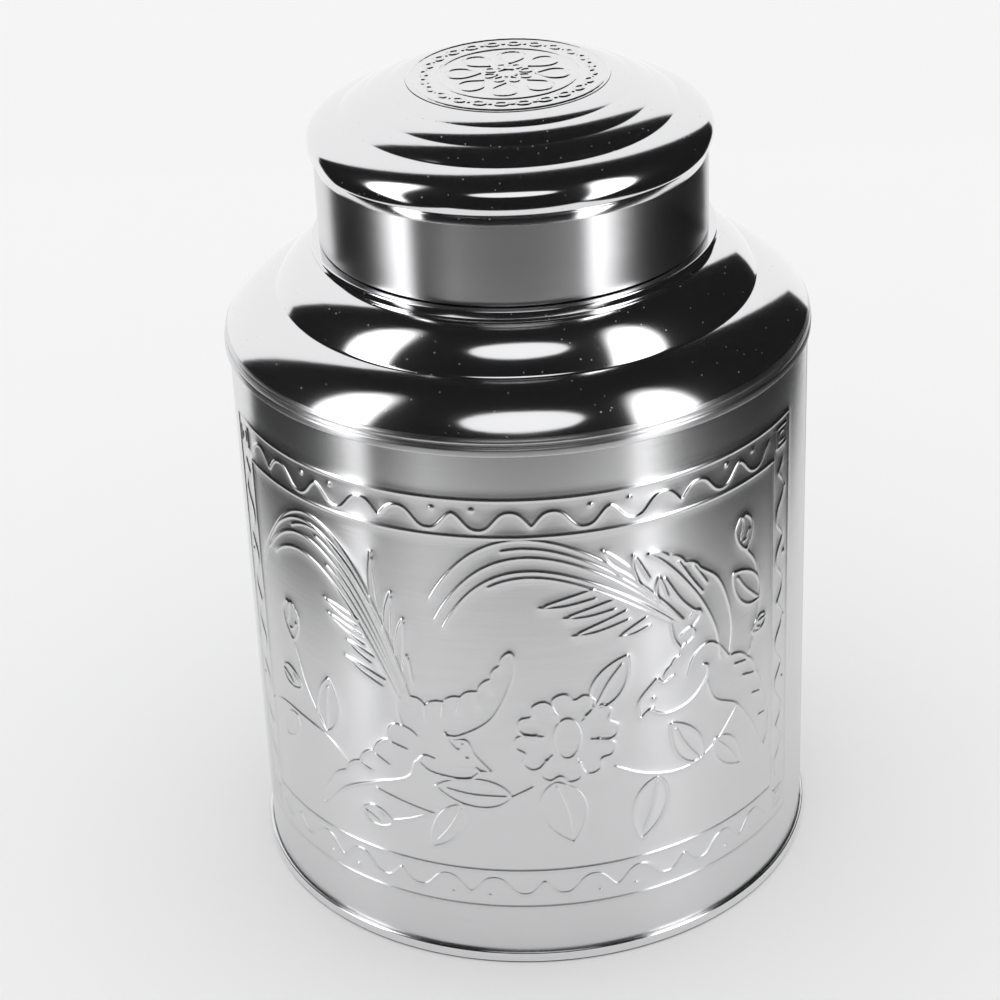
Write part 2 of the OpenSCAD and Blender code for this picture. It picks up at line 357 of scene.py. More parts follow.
def right_bird():
    """The sitting bird: tail, barbs, plume, body and wing."""
    tail = [bezier((47, 97), (28, 122), (0, 145), (-18, 110)),
            bezier((46, 97), (27, 117.5), (0, 139.5), (-17, 104)),
            bezier((45, 97), (26, 114), (0, 134), (-15, 102)),
            bezier((43, 98), (25, 111), (3, 131), (-14, 103), 0.8),
            bezier((46.5, 97), (27.5, 119.5), (0, 142.5), (-18, 107), 0.7)]
    barbs = []
    for base, tip in (((23, 111), (9, 108.5)), ((28, 107), (15, 105)), ((31.5, 103.2), (17, 99.6)),
                      ((37, 100), (29, 97.4)), ((31, 115.5), (25, 123)), ((36, 111.5), (33, 120)),
                      ((41, 105), (40, 112))):
        barbs += spike(base, tip, 2.8)
    plume = scallops([(52, 110.5), (47.5, 113.5), (42.5, 117), (37, 119)], -0.8)
    plume += curves([(52, 110.5), (58, 105), (61.8, 96), (63, 88), (62, 80)],
                    [(37, 119), (41, 116), (47, 109), (53, 100), (57.5, 90), (59, 81)],
                    [(45.5, 114.6), (49.5, 108), (53, 103)], [(50, 112), (54.5, 105)],
                    [(41.5, 111), (46, 103.5), (50, 99), (52, 98)],
                    [(49, 97), (51, 98.6), (52.4, 96.8), (50, 94)])
    body = curves([(48, 80), (50, 85), (54, 87.4), (58, 85.4), (62, 80)],
                  [(43, 98), (44, 92.6), (46, 89)],
                  [(46, 92.8), (49, 94.2), (50.4, 91.6), (48, 89.6)],
                  [(34, 71.6), (34, 77), (39, 82.4)],
                  [(39, 82.4), (41, 80.6), (44, 81.8)],
                  [(34, 71.6), (36.6, 73.6), (38, 74)],
                  [(36.6, 73.6), (42, 71), (49, 72.4), (54, 77), (54.6, 80.4), (53, 81.6)])
    body += scallops([(47.6, 90), (46, 87), (43.4, 85), (41, 81.6)], -0.6)
    wing = scallops([(76.5, 45), (78.4, 51), (77.4, 57), (75.2, 64), (72.6, 70.5), (69, 76.5),
                     (62.5, 80)], -0.9)
    wing.append(smooth([(54, 76.6), (57, 69.4), (65, 64), (72, 54), (76.5, 45)]))
    wing += curves([(64, 76.6), (68.8, 75.6)], [(67.4, 71.6), (72, 70.2)], [(71.4, 64), (75, 63)],
                   [(74.4, 55.6), (77.4, 55.2)])
    return tail + barbs + plume + body + wing


def foliage():
    """The leaves, buds and stems round the birds."""
    lines = []
    for base, tip, width in (((22, 77.5), (31, 91.5), 4.6), ((11.5, 56.5), (16, 37.5), 6.4),
                             ((0.5, 52.4), (-19.5, 54), 4.8), ((-12, 49), (-21, 34.6), 4),
                             ((39, 52.6), (34, 34.6), 5.2), ((57, 57), (66.5, 45), 3.8),
                             ((52, 52.8), (43, 67.6), 4.2), ((74, 92), (63.6, 104), 4.4),
                             ((-53, 60), (-51, 77), 4.2), ((-66, 58.6), (-72.5, 49.5), 3.4)):
        lines += leaf(base, tip, width)
    for centre, size, turn in (((-65, 88), 5.6, 4), ((-66.5, 70), 4.6, 78), ((-36.5, 39.5), 4.6, 82),
                               ((68, 113.6), 5, 8), ((74, 84), 3.2, -70)):
        lines += bud(centre, size, turn)
    return lines + curves([(-65, 82.6), (-60, 70), (-53, 60)],
                          [(-81, 56), (-74, 59.4), (-65, 60), (-53, 58.4), (-46.4, 53.4)],
                          [(-37, 48.6), (-28, 46.6), (-20, 45)],
                          [(-32, 40), (-27, 42), (-22, 44.6)],
                          [(0.5, 52.4), (6, 55.4)],
                          [(27, 59), (36, 54.4), (47, 52.4), (57, 56), (65, 63.6)],
                          [(68.4, 109), (72.6, 103), (74, 95), (73, 86), (70, 77.6)])


WAVE_HALF = 19.3  # from one mirror line of the wave to the next
WAVE_CREST = 5.2
WAVE_LENGTH = 15.6
CUSP_AT = 8.0
SWING_ALONG = 2.5
SWING_UP = 1.9


def wave_height(along):
    """Height of the border's wave, 1 at its crests; every half wave is a mirror of the last."""
    s = (along - CUSP_AT) % (2 * WAVE_HALF)
    s = np.minimum(s, 2 * WAVE_HALF - s)
    w = np.cos(2 * math.pi * (s - WAVE_CREST) / WAVE_LENGTH)
    return w * (1.25 - 0.25 * w ** 2)


def border(outer, inner, low, high):
    """The wave, its dots and the corner keys between the two frames of a panel."""
    band_u = (outer + inner) / 2
    lines = []
    dots = []
    for centre, flip in (((high[0] + high[1]) / 2, 1), ((low[0] + low[1]) / 2, -1)):
        along = np.arange(-inner + 2, inner - 2, 0.25)
        lines.append(np.stack([along, centre + flip * (SWING_ALONG * wave_height(along) - 0.8)], 1))
        for k in range(-5, 5):
            for side in (-1, 1):
                cup = CUSP_AT + k * WAVE_HALF * 2 + WAVE_HALF + side * 4.9
                if abs(cup) < inner - 5:
                    dots.append((cup, centre + flip * 2.4))
    along = np.arange(low[1] + 1.5, high[0] - 1.5, 0.25)
    for side in (-1, 1):
        lines.append(np.stack([side * (band_u - 0.5 + SWING_UP * wave_height(along)), along], 1))
        for cup in np.arange(low[1] + 12, high[0] - 6, WAVE_HALF):
            dots.append((side * (band_u + 2.2), cup))
        for corner in (np.mean(low), np.mean(high)):
            for half in (2.7, 1.3):
                square = [(-half, -half), (half, -half), (half, half), (-half, half),
                          (-half, -half)]
                lines.append(np.array([(side * band_u + x, corner + y) for x, y in square]))
    return lines, dots


def frame_rectangle(half, low, high):
    """The four sides of a frame, as separate lines."""
    return [np.array([(-half, low), (half, low)]), np.array([(-half, high), (half, high)]),
            np.array([(-half, low), (-half, high)]), np.array([(half, low), (half, high)])]


class Relief:
    """Height field, in millimetres, of a drawing pressed into sheet metal."""

    CELL = 0.15
    DOT = 0.06  # between the spots that a line is stamped with
    LINE_LIMIT = 1.4
    SWELL_LIMIT = 1.2

    def __init__(self, low, high):
        self.low = np.array(low, float)
        self.shape = tuple(int((high[i] - low[i]) / self.CELL) + 2 for i in (0, 1))
        self.ink = np.zeros(self.shape)

    def draw(self, line, weight=1.0):
        """Adds a line; its ink is the same for each millimetre."""
        gap = np.linalg.norm(np.diff(line, axis=0), axis=1)
        reach = np.concatenate([[0], np.cumsum(gap)])
        count = max(2, int(reach[-1] / self.DOT))
        spots = np.linspace(0, reach[-1], count)
        points = np.stack([np.interp(spots, reach, line[:, k]) for k in (0, 1)], 1)
        self.stamp(points, weight * reach[-1] / count)

    def stamp(self, points, amount):
        """Adds an amount of ink at each point, shared by the four cells round it."""
        place = (points - self.low) / self.CELL
        cell = np.floor(place).astype(int)
        part = place - cell
        inside = ((cell >= 0) & (cell < np.array(self.shape) - 1)).all(1)
        cell, part = cell[inside], part[inside]
        for dx in (0, 1):
            for dy in (0, 1):
                share = np.abs(1 - dx - part[:, 0]) * np.abs(1 - dy - part[:, 1])
                np.add.at(self.ink, (cell[:, 0] + dx, cell[:, 1] + dy), amount * share)

    def blurred(self, width):
        """The ink spread by a bell curve, 1 high along a lone straight line."""
        fx = np.fft.fftfreq(self.shape[0], self.CELL)[:, None]
        fy = np.fft.rfftfreq(self.shape[1], self.CELL)[None, :]
        bell = np.exp(-2 * (math.pi * width) ** 2 * (fx ** 2 + fy ** 2))
        spread = np.fft.irfft2(np.fft.rfft2(self.ink) * bell, self.shape)
        return spread / self.CELL ** 2 * width * math.sqrt(2 * math.pi)

    def press(self, depth=1.0):
        """Settles the height and its slopes; where lines meet, the height stays under a limit."""
        r = relief_sizes()
        line = self.blurred(r.line_width / MM)
        swell = self.blurred(r.swell_width / MM)
        line = line / (1 + (line / self.LINE_LIMIT) ** 4) ** 0.25
        swell = swell / (1 + (swell / self.SWELL_LIMIT) ** 4) ** 0.25
        self.height = depth * (r.line_height * line + r.swell_height * swell) / MM
        self.slope = np.gradient(self.height, self.CELL)

    def sample(self, field, points):
        """Values of a field at the points, from the four cells round each."""
        place = np.clip((points - self.low) / self.CELL, 0, np.array(self.shape) - 1.001)
        i, j = np.floor(place).astype(int).T
        a, b = (place - np.stack([i, j], 1)).T
        return (field[i, j] * (1 - a) * (1 - b) + field[i + 1, j] * a * (1 - b)
                + field[i, j + 1] * (1 - a) * b + field[i + 1, j + 1] * a * b)


PANEL_LOW = (17.6, 29.1)  # heights of the outer and the inner frame
PANEL_HIGH = (128.6, 138.8)  # heights of the inner and the outer frame
FRAME_INSET = 0.4
MARGIN = 4  # flat stretch kept round a panel
EYE_SPOTS = [(-10.6, 63.6), (38, 76.6)]


def panel_relief():
    """The picture panel: two frames, a border, two birds, a peony and leaves."""
    r = relief_sizes()
    radius = sizes().wall_radius / MM
    outer = radius * r.outer_angle - FRAME_INSET
    inner = radius * r.inner_angle - FRAME_INSET
    relief = Relief((-outer - MARGIN, PANEL_LOW[0] - MARGIN), (outer + MARGIN, PANEL_HIGH[1] + MARGIN))
    for line in frame_rectangle(outer, PANEL_LOW[0], PANEL_HIGH[1]):
        relief.draw(line, 1.25)
    for line in frame_rectangle(inner, PANEL_LOW[1], PANEL_HIGH[0]):
        relief.draw(line, 1.25)
    lines, dots = border(outer, inner, PANEL_LOW, PANEL_HIGH)
    for line in lines:
        relief.draw(line, 1.1)
    for dot in dots + EYE_SPOTS:
        relief.draw(ring(dot, 0.35), 0.8)
    for line in left_bird() + right_bird() + foliage() + peony((15, 69.5), 13):
        relief.draw(line)
    relief.press()
    return relief


# -------- finishes

def new_material(name):
    """A bare metal, its node tree and its shader."""
    material = bpy.data.materials.new(name)
    material.use_nodes = True
    tree = material.node_tree
    shader = tree.nodes["Principled BSDF"]
    shader.inputs["Metallic"].default_value = 1.0
    return material, tree, shader


def add_node(tree, kind, **values):
    """Adds a node; a value goes to the input of that name, or else to the property."""
    node = tree.nodes.new(kind)
    for key, value in values.items():
        if key in node.inputs:
            node.inputs[key].default_value = value
        else:
            setattr(node, key, value)
    return node


def object_mapping(tree, scale):
    """Object coordinates times a scale."""
    place = tree.nodes.new("ShaderNodeTexCoord")
    mapping = tree.nodes.new("ShaderNodeMapping")
    mapping.inputs["Scale"].default_value = scale
    tree.links.new(place.outputs["Object"], mapping.inputs["Vector"])
    return mapping.outputs["Vector"]


def noise(tree, stretch, **values):
    """Noise on Object coordinates, finer where the stretch is larger."""
    node = add_node(tree, "ShaderNodeTexNoise", **values)
    tree.links.new(object_mapping(tree, stretch), node.inputs["Vector"])
    return node.outputs["Fac"]


def remap(tree, value, start, end, low=0.0, high=1.0):
    """Start where the value is low, end where it is high."""
    node = add_node(tree, "ShaderNodeMapRange", **{"From Min": low, "From Max": high,
                                                   "To Min": start, "To Max": end})
    tree.links.new(value, node.inputs["Value"])
    return node.outputs["Result"]


def add_bump(tree, shader, height, strength, distance):
    node = add_node(tree, "ShaderNodeBump", Strength=strength, Distance=distance)
    tree.links.new(height, node.inputs["Height"])
    tree.links.new(node.outputs["Normal"], shader.inputs["Normal"])


def polished_tin(name, colour):
    """Polished tinplate: a mirror of uneven gloss with a faint rolled grain and specks of dust."""
    material, tree, shader = new_material(name)
    specks = add_node(tree, "ShaderNodeTexVoronoi", Scale=420.0, Randomness=1.0)
    tree.links.new(object_mapping(tree, (1, 1, 1)), specks.inputs["Vector"])
    total = add_node(tree, "ShaderNodeMath", operation="ADD")
    gloss = remap(tree, noise(tree, (1, 1, 1), Scale=26.0, Detail=3.0), 0.06, 0.13)
    tree.links.new(gloss, total.inputs[0])
    dust = remap(tree, specks.outputs["Distance"], 0.4, 0.0, 0.04, 0.09)
    tree.links.new(dust, total.inputs[1])
    tree.links.new(total.outputs[0], shader.inputs["Roughness"])
    add_bump(tree, shader, noise(tree, (1, 1, 9), Scale=60.0, Detail=2.0), 0.03, 0.0004)
    shader.inputs["Base Color"].default_value = (*colour, 1)
    return material


def brushed_tin(name, colour, low, high, smear, tangent_from="RADIAL"):
    """Brushed tinplate: fine lines round the piece that smear reflections upwards."""
    material, tree, shader = new_material(name)
    lines = noise(tree, (50, 50, 3000), Scale=1.0, Detail=4.0, Roughness=0.6)
    tree.links.new(remap(tree, lines, low, high), shader.inputs["Roughness"])
    add_bump(tree, shader, lines, 0.02, 0.0002)
    tangent = add_node(tree, "ShaderNodeTangent", direction_type=tangent_from, axis="Z")
    tree.links.new(tangent.outputs["Tangent"], shader.inputs["Tangent"])
    shader.inputs["Anisotropic"].default_value = smear
    shader.inputs["Anisotropic Rotation"].default_value = 0.25
    shader.inputs["Base Color"].default_value = (*colour, 1)
    return material


def get_material(name):
    """One of the tin finishes by name, made the first time it is asked for."""
    if name in bpy.data.materials:
        return bpy.data.materials[name]
    finish = bpy.context.scene.caddy_finish
    if name == "polished_tin":
        return polished_tin(name, finish.bright)
    if name == "brushed_wall":
        return brushed_tin(name, finish.satin, 0.2, 0.3, 0.8, "UV_MAP")
    if name == "brushed_tin":
        return brushed_tin(name, finish.satin, 0.24, 0.38, 0.9)
    return brushed_tin(name, finish.plain, 0.16, 0.3, 0.8)


# -------- the wall

def coordinates(piece):
    """The piece's vertices as rows of an array."""
    co = np.empty(len(piece.data.vertices) * 3)
    piece.data.vertices.foreach_get("co", co)
    return co.reshape(-1, 3)


def bent_grid(columns, rows, place):
    """A flat grid, columns by rows, whose points are moved by place(x, y), 0 to 1 each way."""
    deselect_all()
    bpy.ops.mesh.primitive_grid_add(x_subdivisions=columns, y_subdivisions=rows, size=1)
    piece = bpy.context.active_object
    co = coordinates(piece)
    points, normals = place(co[:, 0] + 0.5, co[:, 1] + 0.5)
    piece.data.vertices.foreach_set("co", points.ravel())
    piece.data.update()
    bpy.ops.object.shade_smooth()
    piece.data.normals_split_custom_set_from_vertices(normals)


def wall_sector(name, start, end, height, slope, columns, heights):
    """A stretch of the wall's outer face between two angles from the front."""
    radius = sizes().wall_radius / MM
    levels = np.array(heights)

    def place(x, y):
        angle = start + (end - start) * x
        z = np.interp(y * (len(levels) - 1), np.arange(len(levels)), levels)
        h = height(angle, z)
        hu, hz = slope(angle, z)
        sin, cos = np.sin(angle), np.cos(angle)
        points = np.stack([(radius + h) * sin, -(radius + h) * cos, z], 1) * MM
        normals = np.stack([sin - hu * cos, -cos - hu * sin, -hz], 1)
        return points, normals / np.linalg.norm(normals, axis=1)[:, None]

    bent_grid(columns, len(levels) - 1, place)
    finish_piece(name, "brushed_wall", "caddy", "body_wall")


LAP_HALF = math.radians(2)
LAP_EDGE = 0.12  # softness of the lap's edge, in millimetres
FLAT = MARGIN - 0.2  # flat stretch round a panel that has the fine mesh


class OBJECT_OT_caddy_wall(bpy.types.Operator):
    """Builds the rolled wall with a panel in relief at the front and at the back"""
    bl_idname = "object.caddy_wall"
    bl_label = "Wall"

    def execute(self, context):
        s, r = sizes(), relief_sizes()
        radius = s.wall_radius / MM
        low, high = 1.0, WALL_BOX[1][2] / MM - 0.2
        relief = panel_relief()
        edge = relief.low[0] / radius
        step = r.grid / MM
        fine = np.arange(PANEL_LOW[0] - FLAT, PANEL_HIGH[1] + FLAT, step)
        heights = np.concatenate([np.linspace(low, fine[0] - step, 8), fine,
                                  np.linspace(fine[-1] + step, high, 6)])
        columns = int(-2 * edge * radius / step / 3)
        for side, turn in (("front", 0.0), ("back", math.pi)):
            def height(angle, z):
                return relief.sample(relief.height, np.stack([(angle - turn) * radius, z], 1))

            def slope(angle, z):
                spots = np.stack([(angle - turn) * radius, z], 1)
                return relief.sample(relief.slope[0], spots), relief.sample(relief.slope[1], spots)

            for k, third in enumerate(("left", "middle", "right")):
                start = turn + edge - 2 * edge * k / 3
                wall_sector(f"wall_{side}_{third}", start, start - 2 * edge / 3,
                            height, slope, columns, heights)
        rise = s.sheet / MM / 2

        def lap_height(angle, z):
            beyond = (np.abs(angle - math.pi / 2) - LAP_HALF) * radius
            return rise / (1 + np.exp(beyond / LAP_EDGE))

        def lap_slope(angle, z):
            h = lap_height(angle, z) / rise
            return -np.sign(angle - math.pi / 2) * rise * h * (1 - h) / LAP_EDGE, np.zeros_like(z)

        coarse = np.concatenate([[low], np.linspace(low + 1, high, 30)])
        wall_sector("wall_lap_side", -edge, math.pi + edge, lap_height, lap_slope, 400, coarse)
        wall_sector("wall_plain_side", math.pi - edge, 2 * math.pi + edge, lambda a, z: 0 * z,
                    lambda a, z: (0 * z, 0 * z), 60, coarse)
        self.inside()
        return {"FINISHED"}

    def inside(self):
        """The wall's inner face with the flanges folded into both seams."""
        s = sizes()
        middle = s.wall_radius - s.sheet / 2
        turn_low = 1.5 * s.sheet + pitch() + s.fold_gap
        turn_high = WALL_BOX[1][2] - s.sheet / 2 - pitch()
        outline = sheet_outline(
            [(middle + 2 * pitch(), turn_low + 1.6 * MM)]
            + arc((middle + pitch(), turn_low), pitch(), 0, -180)
            + arc((middle + pitch(), turn_high), pitch(), 180, 0)
            + [(middle + 2 * pitch(), turn_high - 0.7 * MM)], s.sheet - SKIN)
        turned(outline, 180)
        finish_piece("wall_inside", "rolled_tin", "caddy", "body_wall")


class OBJECT_OT_caddy_bottom(bpy.types.Operator):
    """Builds the bottom plate with its folded seam"""
    bl_idname = "object.caddy_bottom"
    bl_label = "Bottom plate"

    def execute(self, context):
        s = sizes()
        corner = 1.5 * s.sheet
        middle = s.wall_radius - s.sheet / 2
        panel = 3.4 * MM + s.sheet / 2
        hook_low = 1.5 * s.sheet + pitch()
        cover_top = FOOT_BOX[0][2] + hook_low + s.fold_gap + 1.9 * MM
        step = (s.wall_radius * 0.8, s.wall_radius * 0.88)
        turned_sheet(
            [(0, panel), (step[0], panel)] + bow((step[0], panel), (step[1], panel), 0.8 * MM)
            + arc((middle - pitch() - corner, panel - corner), corner, 90, 0)
            + arc((middle - pitch() + corner, s.sheet / 2 + corner), corner, 180, 270)
            + arc((middle + 3 * pitch() - corner, s.sheet / 2 + corner), corner, 270, 360)
            + arc((middle + 2 * pitch(), cover_top), pitch(), 0, 180)
            + [(middle + pitch(), hook_low)], 360)
        finish_piece("bottom_plate_sheet", "polished_tin", "caddy", "bottom_plate")
        return {"FINISHED"}


class OBJECT_OT_caddy_shoulder(bpy.types.Operator):
    """Builds the stepped shoulder with its two seams"""
    bl_idname = "object.caddy_shoulder"
    bl_label = "Shoulder"

    def execute(self, context):
        s = sizes()
        p, t = pitch(), s.sheet
        corner = 1.5 * t
        wall = s.wall_radius - t / 2
        seam_low = SHOULDER_BOX[0][2] + t / 2 + p
        seam_top = SHOULDER_BOX[0][2] + 2.2 * MM - t / 2
        groove = wall + 0.1 * MM
        bead_r = 0.55 * MM
        bead_z = seam_top + corner + bead_r + 0.55 * MM
        edge = (groove, bead_z + 2 * bead_r)
        neck = s.lid_radius + 1 * MM
        neck_turn = s.ledge_height - t / 2 - 2 * p
        start = (neck + 0.8 * MM, s.ledge_height - 3.15 * MM)
        crease_at, fall, swell = 0.44, 21.8 * MM, 1.1 * MM
        crease = (start[0] + crease_at * (edge[0] - start[0]), start[1] - crease_at * fall)
        turned_sheet(
            [(neck + 2 * p, neck_turn - 0.9 * MM)] + arc((neck + p, neck_turn), p, 0, 180)
            + [(neck, start[1] + 0.8 * MM), start]
            + bow(start, crease, swell, 24) + bow(crease, edge, swell, 24))
        finish_piece("shoulder_dome", "polished_tin", "caddy", "shoulder")
        turned_sheet(
            [edge] + arc((groove, bead_z), bead_r, 60, -60)
            + arc((groove + corner, seam_top + corner), corner, 180, 270)
            + arc((wall + 3 * p - corner, seam_top - corner), corner, 90, 0)
            + arc((wall + 2 * p, seam_low), p, 0, -180)
            + [(wall + p, seam_top - 2 * p - s.fold_gap)])
        finish_piece("shoulder_seam", "brushed_tin", "caddy", "shoulder")
        return {"FINISHED"}


class OBJECT_OT_caddy_collar(bpy.types.Operator):
    """Builds the collar with its curled rim and the ledge under the lid"""
    bl_idname = "object.caddy_collar"
    bl_label = "Collar"

    def execute(self, context):
        s = sizes()
        p, t = pitch(), s.sheet
        middle = s.lid_radius - t - p - s.move_gap - t / 2
        foot = 2 * t
        top = s.ledge_height - t / 2
        cover = s.lid_radius + 1 * MM + 3 * p
        rim_r = 0.85 * MM
        rim_z = COLLAR_BOX[1][2] - rim_r - t / 2
        turned_sheet(
            arc((middle - rim_r, rim_z), rim_r, 250, 0, 24)
            + arc((middle + foot, top + foot), foot, 180, 270)
            + arc((cover - 1.5 * t, top - 1.5 * t), 1.5 * t, 90, 0)
            + arc((cover - p, top - 1.7 * MM), p, 0, -180)
            + [(cover - 2 * p, top - 2 * p - s.fold_gap)])
        finish_piece("collar_sheet", "polished_tin", "caddy", "collar")
        return {"FINISHED"}


# -------- the lid

OVALS = 24
OVAL_CIRCLE = 21.1
PETALS = 8
PETAL_RIM = ((0, 0.44), (-16, 0.72), (-11, 0.93), (0, 1.0), (11, 0.93), (16, 0.72), (0, 0.44))


def medallion_relief():
    """A rosette in a ring, with a band of ovals and dots round it."""
    edge = sizes().medallion_radius / MM
    relief = Relief((-edge - 3, -edge - 3), (edge + 3, edge + 3))
    for radius in (edge, 17.6):
        relief.draw(ring((0, 0), radius), 1.2)
    for k in range(OVALS):
        a = 2 * math.pi * k / OVALS
        along = np.array([-math.sin(a), math.cos(a)])
        out = np.array([math.cos(a), math.sin(a)])
        oval = ring((0, OVAL_CIRCLE), 1.7, 1.15)
        relief.draw(oval[:, :1] * along + oval[:, 1:] * out, 1.1)
        b = a + math.pi / OVALS
        relief.draw(ring((OVAL_CIRCLE * math.cos(b), OVAL_CIRCLE * math.sin(b)), 0.4), 0.9)
    for reach, shift in ((15.4, 0), (6.3, 0.5)):
        for k in range(PETALS):
            a = 2 * math.pi * (k + shift) / PETALS
            relief.draw(smooth([(math.cos(a + math.radians(w)) * reach * d,
                                 math.sin(a + math.radians(w)) * reach * d) for w, d in PETAL_RIM]))
    relief.draw(ring((0, 0), 2.6), 1.1)
    relief.press(depth=1.7)
    return relief


class OBJECT_OT_caddy_lid(bpy.types.Operator):
    """Builds the domed lid with its medallion in relief and its hemmed skirt"""
    bl_idname = "object.caddy_lid"
    bl_label = "Lid"

    def execute(self, context):
        s = sizes()
        p, t = pitch(), s.sheet
        low = LID_BOX[0][2]
        top = s.ledge_height + 40.5 * MM - t / 2
        skirt = s.lid_radius - t / 2
        bulge_r = 6.4 * MM
        bulge = (s.lid_radius - 4.8 * MM, top + t / 2 - 13.8 * MM)
        hem_z = low + t / 2 + p / 2
        edge = s.medallion_radius + 0.8 * MM
        drops = (1.75 * MM, 2.4 * MM, 3.15 * MM)
        step_w = (bulge[0] - 2.6 * MM - edge) / len(drops)
        path = [(0, top), (edge - 0.1 * MM, top), (edge, top)]
        spot = (edge, top)
        for drop in drops:
            nearer = (spot[0] + step_w, spot[1] - drop)
            path += bow(spot, nearer, 0.25 * MM, 16)
            spot = nearer
        path += crown(spot, (bulge[0] + bulge_r - t / 2, bulge[1]))
        path += arc(bulge, bulge_r - t / 2, 0, -30, 12)
        waist = (skirt, bulge[1] - 5.4 * MM)
        outline = sheet_outline(path + [waist], t)
        outline[:2, 1] -= SKIN
        turned(outline, 360)
        finish_piece("lid_dome", "polished_tin", "lid", "lid")
        self.medallion(edge, top + t / 2)
        turned_sheet(
            [waist, (skirt, (waist[1] + low) / 2)] + arc((skirt - p / 2, hem_z), p / 2, 0, -180)
            + [(skirt - p, hem_z + 2.5 * MM)], 360)
        finish_piece("lid_skirt", "brushed_tin", "lid", "lid")
        return {"FINISHED"}

    def medallion(self, edge, top):
        """The flat top of the dome with its relief, a disc that closes at its centre."""
        relief = medallion_relief()
        deselect_all()
        bpy.ops.mesh.primitive_grid_add(x_subdivisions=512, y_subdivisions=86, size=1)
        piece = bpy.context.active_object
        co = coordinates(piece)
        angle, radius = co[:, 0] * 2 * math.pi, (co[:, 1] + 0.5) * edge
        co = np.stack([radius * np.sin(angle), -radius * np.cos(angle), 0 * angle + top], 1)
        piece.data.vertices.foreach_set("co", co.ravel())
        piece.data.update()
        edit_all()
        bpy.ops.mesh.remove_doubles(threshold=TOUCH)
        bpy.ops.mesh.normals_make_consistent(inside=False)
        bpy.ops.object.mode_set(mode="OBJECT")
        bpy.ops.object.shade_smooth()
        co = coordinates(piece)
        spots = co[:, :2] / MM
        co[:, 2] += relief.sample(relief.height, spots) * MM
        slope = np.stack([-relief.sample(relief.slope[0], spots), -relief.sample(relief.slope[1], spots),
                          np.ones(len(spots))], 1)
        piece.data.vertices.foreach_set("co", co.ravel())
        piece.data.update()
        if piece.data.polygons[0].normal.z < 0:
            piece.data.flip_normals()
        piece.data.normals_split_custom_set_from_vertices(slope / np.linalg.norm(slope, axis=1)[:, None])
        finish_piece("lid_medallion", "polished_tin", "lid", "lid")


class OBJECT_OT_caddy_inner_lid(bpy.types.Operator):
    """Builds the inner lid, its knob and the rivet that holds the knob"""
    bl_idname = "object.caddy_inner_lid"
    bl_label = "Inner lid"

    def execute(self, context):
        s = sizes()
        t = s.sheet
        plug = s.lid_radius - t - pitch() - 2 * s.move_gap - t - 1.7 * MM
        wall = plug - t / 2
        panel = INNER_BOX[0][2] + t / 2
        flange = panel + 7.5 * MM
        edge = INNER_BOX[1][0] - 0.2 * MM - t / 2
        bore = 1.55 * MM
        step = (plug * 0.62, plug * 0.76)
        turned_sheet(
            [(bore, panel), (step[0], panel)] + bow((step[0], panel), (step[1], panel), 0.6 * MM)
            + arc((wall - 1.2 * MM, panel + 1.2 * MM), 1.2 * MM, 270, 360)
            + arc((wall + 1.5 * t, flange - 1.5 * t), 1.5 * t, 180, 90)
            + arc((edge, flange + 0.2 * MM), 0.2 * MM, 270, 450)
            + [(edge - 0.8 * MM, flange + 0.4 * MM)], 240)
        finish_piece("inner_lid_sheet", "rolled_tin", "inner_lid", "inner_lid")
        self.knob(bore)
        self.rivet()
        return {"FINISHED"}

    def knob(self, bore):
        """The turned knob with its blind bore, open downwards."""
        foot, top = KNOB_BOX[0][2], KNOB_BOX[1][2]
        radius = KNOB_BOX[1][0]
        side = 1.5 * MM
        waist = foot + (top - foot) * 0.45
        flat = (4.5 * MM, foot + 0.8 * MM)
        outline = [(0, foot + 4.55 * MM), (bore, foot + 4.55 * MM), (bore, foot)]
        outline += arc((flat[0] - 0.2 * MM, foot + 0.2 * MM), 0.2 * MM, -90, 0, 4) + [flat]
        outline += bow(flat, (3 * MM, waist), -0.4 * MM)
        outline += arc((radius - side, top - 2 * side), side, -60, 75, 20)
        outline += bow(outline[-1], (0, top), -0.15 * MM)
        turned(outline, 128)
        finish_piece("inner_lid_knob_turned", "polished_tin",
                     "inner_lid", "inner_lid_knob")

    def rivet(self):
        """The rivet: a low head under the panel and a shank up into the knob."""
        under = INNER_BOX[0][2]
        head, radius = under - RIVET_BOX[0][2], RIVET_BOX[1][0]
        shank, tip = 1.5 * MM, RIVET_BOX[1][2]
        dome = [(radius * math.sin(a), under - head * math.cos(a))
                for a in np.radians(np.linspace(0, 90, 16))]
        outline = dome + [(shank, under), (shank, tip), (0, tip)]
        turned(outline, 64)
        finish_piece("knob_rivet_turned", "polished_tin",
                     "inner_lid", "knob_rivet")


# -------- stage

PANEL_TURN = math.radians(5.4)  # the stage is turned by this, so the panel looks a little aside
FLOOR_SIZE = 8
TABLE_WIDTH = 0.45
TABLE_LENGTH = 0.8
TABLE_BACK = 0.08
ROOM_RADIUS = 2.6
ROOM_ASIDE = math.radians(9)
ROOM_TOP = 1.92 * ROOM_RADIUS  # where the slanting cut of the dark room meets the Z axis
ROOM_BACK = 0.72 * ROOM_RADIUS
ROOM_SLANT = 0.4166
LIGHT_CENTRE = (0, 0, 0.14)
LIGHT_REACH = 1.6
LENS = 98.4
CAMERA_PLACE = (-3.7 * MM, -643.6 * MM, 458 * MM)
CAMERA_YAW, CAMERA_DOWN, CAMERA_ROLL = 0.26, 29.27, -2.55  # degrees


